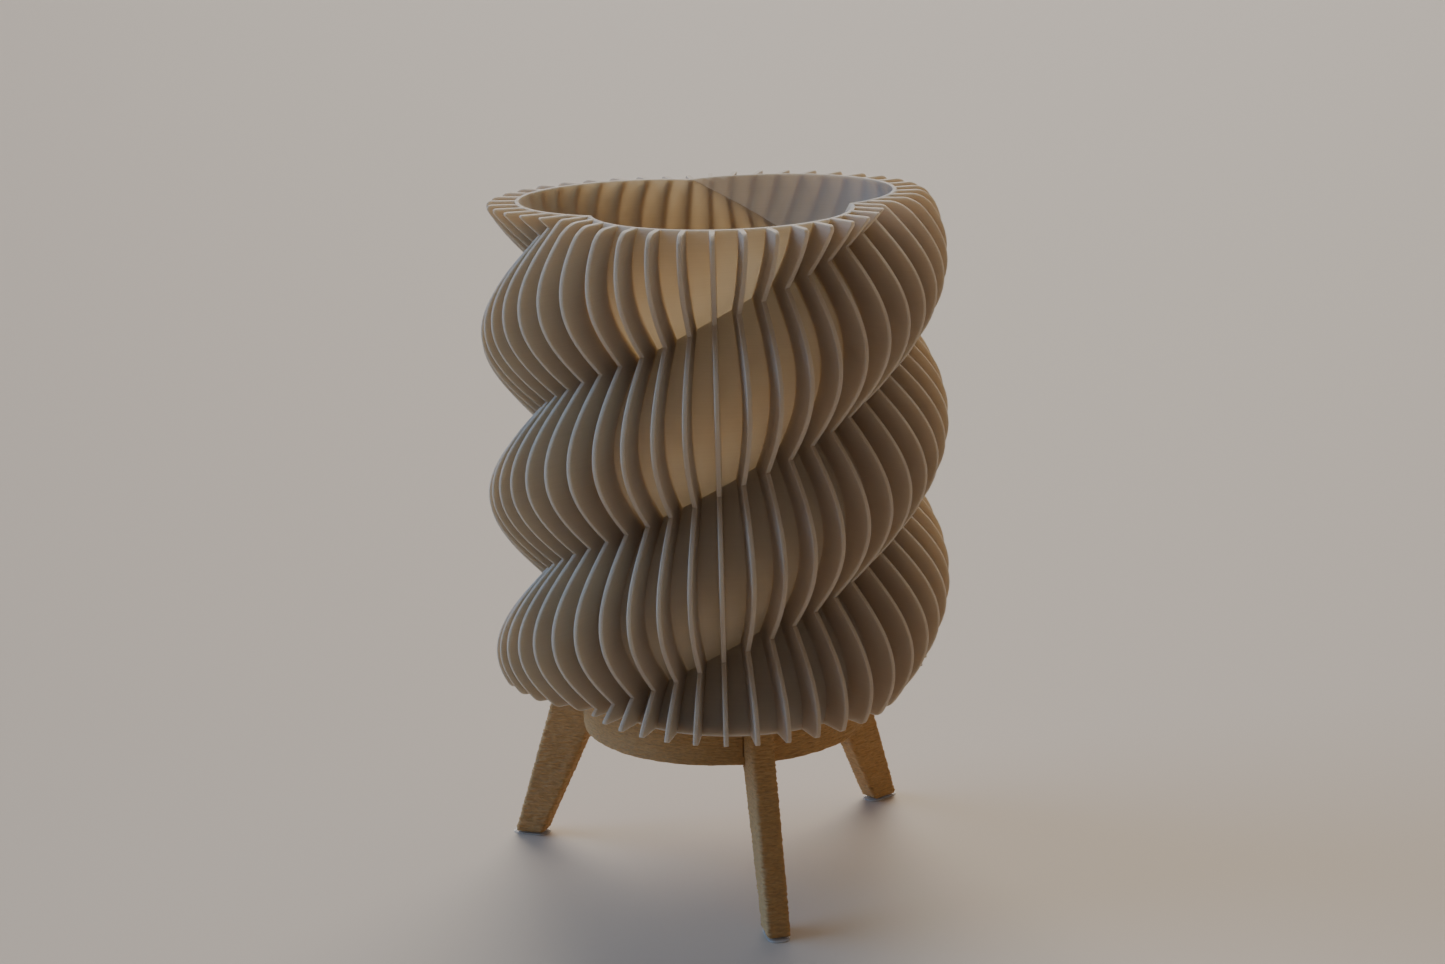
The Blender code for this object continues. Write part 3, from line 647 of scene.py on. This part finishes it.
def leg_section(inner, outer, corner):
    """Give a rounded rectangle in the leg's frame, as points with their normals."""
    half = LEG_HALF
    points = []
    sides = (((outer, -half + corner), (outer, half - corner), (1, 0)),
             ((outer - corner, half), (inner + corner, half), (0, 1)),
             ((inner, half - corner), (inner, -half + corner), (-1, 0)),
             ((inner + corner, -half), (outer - corner, -half), (0, -1)))
    counts = (9, 18, 9, 18)
    for k, (start, end, normal) in enumerate(sides):
        for n in range(counts[k]):
            share = n / (counts[k] - 1)
            points.append((start[0] + (end[0] - start[0]) * share,
                           start[1] + (end[1] - start[1]) * share, *normal))
        following = sides[(k + 1) % 4][2]
        centre = (end[0] - corner * normal[0], end[1] - corner * normal[1])
        for n in (1, 2, 3):
            turn = pi / 2 * n / 4
            across = (normal[0] * cos(turn) + following[0] * sin(turn),
                      normal[1] * cos(turn) + following[1] * sin(turn))
            points.append((centre[0] + corner * across[0], centre[1] + corner * across[1], *across))
    return points


def make_leg(name, azimuth, seed):
    """Loft a grainy leg: tapered below the base, upright on its inner side beside the base."""
    top = LOW - 2 * GAP
    shoulder = BASE_BOTTOM - GAP
    side = BASE_RADIUS + GAP
    shoulder_rise = shoulder - LEG_BOTTOM
    rises = [0.0, 0.0001, 0.0003, 0.0006, 0.0009]
    while rises[-1] < shoulder_rise - 0.0004:
        rises.append(rises[-1] + LEG_ROW)
    rises[-1] = shoulder_rise
    levels = [(rise, False) for rise in rises]
    first_rise = shoulder_rise + 0.00006
    straight = top - shoulder - 0.0008
    levels += [(first_rise + straight * n / UPPER_LEG_ROWS, True) for n in range(UPPER_LEG_ROWS + 1)]
    levels += [(top - LEG_BOTTOM - depth, True) for depth in (0.0005, 0.0002, 0.00005, 0.0)]
    rings = []
    for rise, beside in levels:
        z = LEG_BOTTOM + rise
        inner = side if beside else FOOT_INNER - INNER_SPLAY * rise
        outer = FOOT_OUTER - 0.0001 - OUTER_SPLAY * rise
        back = round_corner(LEG_CORNER, rise) + round_corner(LEG_TOP_ROUND, top - z)
        inner_back = 0.0 if beside else back
        section = leg_section(inner + inner_back, outer - back, LEG_CORNER)
        ring = []
        for x, y, normal_x, normal_y in section:
            if abs(y) > LEG_HALF - back:
                y = (LEG_HALF - back) * (1 if y > 0 else -1)
            depth = (fuzz((x, y, z), seed) + 0.5) * LEG_GRAIN
            if beside and x < side + PLAIN_STRETCH:
                depth = 0.0
            ring.append((x + normal_x * depth, y + normal_y * depth, z))
        rings.append(ring)
    bm = bmesh.new()
    add_loft(bm, rings, radial(azimuth))
    leg = to_object(f"leg_{name}_grained", bm)

    keep = bmesh.new()
    half = LEG_HALF - 0.00005
    root = side + TONGUE_OVERLAP
    box = [(TONGUE_INNER, -half), (root, -half), (root, half), (TONGUE_INNER, half)]
    ends = (BASE_BOTTOM + TONGUE_INSET - 0.0001, BASE_TOP - TONGUE_INSET + 0.0001)
    add_loft(keep, [[(x, y, z) for x, y in box] for z in ends], radial(azimuth))
    tongue = cad_copy("tongue", f"leg_{name}")
    combine(tongue, to_object("tongue_box", keep), "INTERSECT")
    bore_radius = LEG_SCREW[2] + GAP
    bore_length = LEG_SCREW[3] + 0.0010
    seat = radial(azimuth) @ Matrix.Translation((SEAT_RADIUS, 0, SEAT_HEIGHT))
    bore = turned("bore", [(bore_radius, 0.0), (bore_radius, bore_length)], 24,
                  seat @ Matrix.Rotation(pi / 2, 4, "Y"))
    combine(leg, tongue, "UNION")
    combine(leg, bore, "DIFFERENCE")
    smooth(leg)
    finish_piece(leg, "base", "base_plastic", base_look, f"leg_{name}")


def make_pad(name, azimuth):
    """Build a thin pad with round ends, a little smaller than its CAD solid."""
    length, width, corner, edge = 0.0137, 0.0075, 0.0030, 0.00020
    rings = []
    for height, back in ((0.0, edge), (edge * 0.3, edge * 0.3), (edge, 0.0), (PAD_HEIGHT - edge, 0.0),
                         (PAD_HEIGHT - edge * 0.3, edge * 0.3), (PAD_HEIGHT, edge)):
        outline = rounded_outline(length - 2 * back, width - 2 * back, corner - back, 8)
        rings.append([(x, y, height) for x, y in outline])
    bm = bmesh.new()
    middle = (FOOT_INNER + FOOT_OUTER) / 2
    add_loft(bm, rings, radial(azimuth) @ Matrix.Translation((middle, 0, 0)))
    pad = smooth(to_object(f"foot_pad_{name}_clear", bm))
    finish_piece(pad, "base", "clear_pad", pad_look, f"foot_pad_{name}")


for leg_index, leg_name in enumerate(LEG_NAMES):
    make_leg(leg_name, LEG_AZIMUTHS[leg_index], 7.3 * leg_index)
    make_pad(leg_name, LEG_AZIMUTHS[leg_index])


# ---------------------------------------------------------------- screws

def make_screw(node, sizes, place):
    """Turn a screw with a soft-edged head, a hexagonal recess and a threaded-looking shank."""
    head, height, shank, length = sizes
    sides = 36
    recess = head * 0.45

    def hexagon(level, scale=1.0):
        points = []
        for n in range(sides):
            turn = 2 * pi * n / sides
            beside = (turn + pi / 6) % (pi / 3) - pi / 6
            reach = recess * cos(pi / 6) / cos(beside) * scale
            points.append((reach * cos(turn), reach * sin(turn), level))
        return points

    thread_root = shank * 0.82
    outline = [(shank * 0.25, -length), (shank * 0.8, -length + shank * 0.7)]
    pitch = shank * 0.45
    level = -length + shank * 0.9
    while level < -pitch * 1.2:
        outline += [(thread_root, level), (shank, level + pitch * 0.5)]
        level += pitch
    outline += [(thread_root, level), (shank, -0.00005), (shank, 0.0)]
    outline += [(head * 0.97, 0.0), (head, height * 0.08), (head, height * 0.62),
                (head * 0.985, height * 0.78), (head * 0.93, height * 0.93), (head * 0.84, height)]
    rings = [circle(radius, level, sides) for radius, level in outline]
    rings += [hexagon(height, 1.06), hexagon(height * 0.96), hexagon(height * 0.45)]
    bm = bmesh.new()
    add_loft(bm, rings, place)
    screw = smooth(to_object(f"{node}_turned", bm), 40)
    finish_piece(screw, "base", "screw_steel", steel_look, node)


def ring_place(radius, azimuth, height, flip=False):
    turn = Matrix.Rotation(pi if flip else 0.0, 4, "X")
    return radial(azimuth) @ Matrix.Translation((radius, 0, height)) @ turn


def make_screws():
    for index, azimuth in enumerate(LEG_AZIMUTHS):
        leg_name = LEG_NAMES[index]
        seat = radial(azimuth) @ Matrix.Translation((SEAT_RADIUS, 0, SEAT_HEIGHT))
        make_screw(f"leg_screw_{leg_name}", LEG_SCREW, seat @ Matrix.Rotation(-pi / 2, 4, "Y"))
        cover_name = ("front", "right", "back")[index]
        cover_height = BASE_BOTTOM + COVER_SCREW[1]
        make_screw(f"cover_screw_{cover_name}", COVER_SCREW,
                   ring_place(COVER_SCREW_RADIUS, azimuth - radians(30), cover_height, flip=True))
        led_azimuth = radians(-90) + index * LOBE_ANGLE
        make_screw(f"led_screw_{leg_name}", LED_SCREW,
                   ring_place(LED_SCREW_RADIUS, led_azimuth, LED_BOARD_TOP + GAP))
    for side_name, side in (("left", -1), ("right", 1)):
        seat = Matrix.Translation((side * BOARD_SCREW_X, BOARD_SCREW_Y, DRIVER_BOTTOM - GAP))
        make_screw(f"driver_screw_{side_name}", BOARD_SCREW, seat @ Matrix.Rotation(pi, 4, "X"))


make_screws()


# ---------------------------------------------------------------- diffuser and button

def make_diffuser():
    radius, wall, skirt, rise = 0.0324, 0.0014, 0.0042, 0.0075
    foot = SPREADER_TOP + GAP
    shoulder = foot + skirt

    def dome(reach, climb, steps=18):
        bend = (reach ** 2 + climb ** 2) / (2 * climb)
        sweep = asin(reach / bend)
        points = []
        for n in range(steps):
            turn = sweep * (1 - n / steps)
            points.append((bend * sin(turn), shoulder + climb - bend * (1 - cos(turn))))
        points.append((bend * sweep / steps * 0.25, shoulder + climb - 0.000001))
        return points

    inside = radius - wall
    edge = 0.0002
    outline = [*reversed(dome(inside, rise - wall)), (inside, foot + edge), (inside + edge, foot),
               (radius - edge, foot), (radius, foot + edge), *dome(radius, rise)]
    diffuser = smooth(turned("diffuser_frosted", outline, 96))
    finish_piece(diffuser, "base", "diffuser_plastic", diffuser_look, "diffuser")


def make_button():
    back, front = 0.0451, 0.0514
    radius, flange = 0.0024, 0.0032
    length = front - back
    outline = [(radius * 0.6, 0.0), (radius, 0.0001), (radius, 0.0003), (flange - 0.0001, 0.0003),
               (flange, 0.0004), (flange, 0.0012), (flange - 0.0001, 0.0013), (radius, 0.0013),
               (radius, length - 0.0006), (radius - 0.00006, length - 0.00035),
               (radius - 0.0002, length - 0.00012), (radius - 0.0004, length),
               (radius * 0.72, length - 0.00004), (radius * 0.5, length - 0.00016),
               (radius * 0.2, length - 0.0002)]
    place = Matrix.Translation((0.0070, back, BASE_TOP - 0.0060)) @ Matrix.Rotation(-pi / 2, 4, "X")
    button = smooth(turned("power_button_cap", outline, 48, place))
    finish_piece(button, "button", "button_plastic", button_look, "power_button")


make_diffuser()
make_button()


# ---------------------------------------------------------------- CAD nodes that stay

def keep_node(name, look, edge=0.00012):
    node = nodes[name]
    node.data.materials.clear()
    node.data.materials.append(look)
    modifier = node.modifiers.new("soft_edges", "BEVEL")
    modifier.width = edge
    modifier.segments = 2
    modifier.limit_method = "ANGLE"
    modifier.angle_limit = radians(50)
    modifier.harden_normals = True


keep_node("bottom_cover", smooth_look)
keep_node("heat_spreader", brushed("aluminium_look", (0.75, 0.76, 0.78), 0.38, "X"))
keep_node("led_board", board_material("board_white_look", (0.80, 0.80, 0.78), (0.70, 0.71, 0.69)))
keep_node("driver_board", board_material("board_green_look", (0.03, 0.16, 0.07), (0.05, 0.22, 0.10)), 0.00006)
keep_node("power_socket", brushed("socket_steel_look", (0.62, 0.62, 0.64), 0.30, "Y"), 0.00004)
keep_node("switch_body", speckled("switch_black_look", (0.03, 0.03, 0.03), 0.50, 1800, contrast=0.2), 0.00006)
keep_node("lead_red", speckled("lead_red_look", (0.45, 0.02, 0.02), 0.45, 1200), 0.00002)
keep_node("lead_black", speckled("lead_black_look", (0.02, 0.02, 0.02), 0.45, 1200, contrast=0.2), 0.00002)


# ---------------------------------------------------------------- floor, light and camera

def make_floor():
    bm = bmesh.new()
    rows = add_loft(bm, [circle(radius, 0.0, 96) for radius in (0.3, 1.0, 4.0, 12.0)], caps=False)
    bm.faces.new(rows[0])
    floor_piece = to_object("floor", bm)
    look = speckled("floor_look", (0.62, 0.545, 0.46), 0.60, 900, contrast=0.015, depth=0.00001)
    floor_piece.data.materials.append(look)
    if floor_piece.data.polygons[0].normal.z < 0:
        floor_piece.data.flip_normals()


def sun_light(name, toward, angle, strength, colour):
    """Add a soft light that comes from a direction and reaches the whole floor evenly."""
    light = bpy.data.lights.new(name, "SUN")
    light.angle = radians(angle)
    light.energy = strength
    light.color = colour
    result = bpy.data.objects.new(name, light)
    result.rotation_euler = Vector(toward).to_track_quat("Z", "Y").to_euler()
    result.location = toward
    bpy.context.scene.collection.objects.link(result)


def make_world():
    world = bpy.data.worlds.new("studio")
    world.use_nodes = True
    tree = world.node_tree
    background = tree.nodes["Background"]
    background.inputs["Strength"].default_value = 0.10
    where = tree.nodes.new("ShaderNodeTexCoord")
    parts = tree.nodes.new("ShaderNodeSeparateXYZ")
    across = tree.nodes.new("ShaderNodeMapRange")
    across.inputs["From Min"].default_value = -1.0
    colours = tree.nodes.new("ShaderNodeValToRGB")
    colours.color_ramp.elements[0].color = (0.62, 0.88, 1.25, 1.0)
    colours.color_ramp.elements[1].color = (1.00, 0.72, 0.46, 1.0)
    tree.links.new(where.outputs["Generated"], parts.inputs["Vector"])
    tree.links.new(parts.outputs["X"], across.inputs["Value"])
    tree.links.new(across.outputs["Result"], colours.inputs["Fac"])
    tree.links.new(colours.outputs["Color"], background.inputs["Color"])
    bpy.context.scene.world = world


def make_camera():
    yaw, pitch, roll = 0.0014, 0.2493, -0.0278
    forward = Vector((sin(yaw) * cos(pitch), cos(yaw) * cos(pitch), -sin(pitch)))
    right = Vector((cos(yaw), -sin(yaw), 0.0))
    up = right.cross(forward)
    side = right * cos(roll) + up * sin(roll)
    top = up * cos(roll) - right * sin(roll)
    data = bpy.data.cameras.new("camera")
    data.lens = 66.49
    data.sensor_width = 36.0
    data.clip_start = 0.01
    data.clip_end = 100.0
    camera = bpy.data.objects.new("camera", data)
    matrix = Matrix((side, top, -forward)).transposed().to_4x4()
    matrix.translation = Vector((0.0, -0.9013, LOW + 0.29874))
    camera.matrix_world = matrix
    bpy.context.scene.collection.objects.link(camera)
    bpy.context.scene.camera = camera


make_floor()
make_world()
make_camera()
sun_light("window", (-1.0, 0.14, 0.52), 45, 1.62, (0.36, 0.60, 1.0))
sun_light("back", (0.10, 1.0, 0.80), 50, 2.05, (1.0, 0.90, 0.77))
sun_light("sky", (0.05, 0.25, 1.0), 60, 0.45, (1.0, 0.90, 0.78))
sun_light("fill", (1.0, -0.3, 0.4), 60, 0.10, (1.0, 0.60, 0.30))
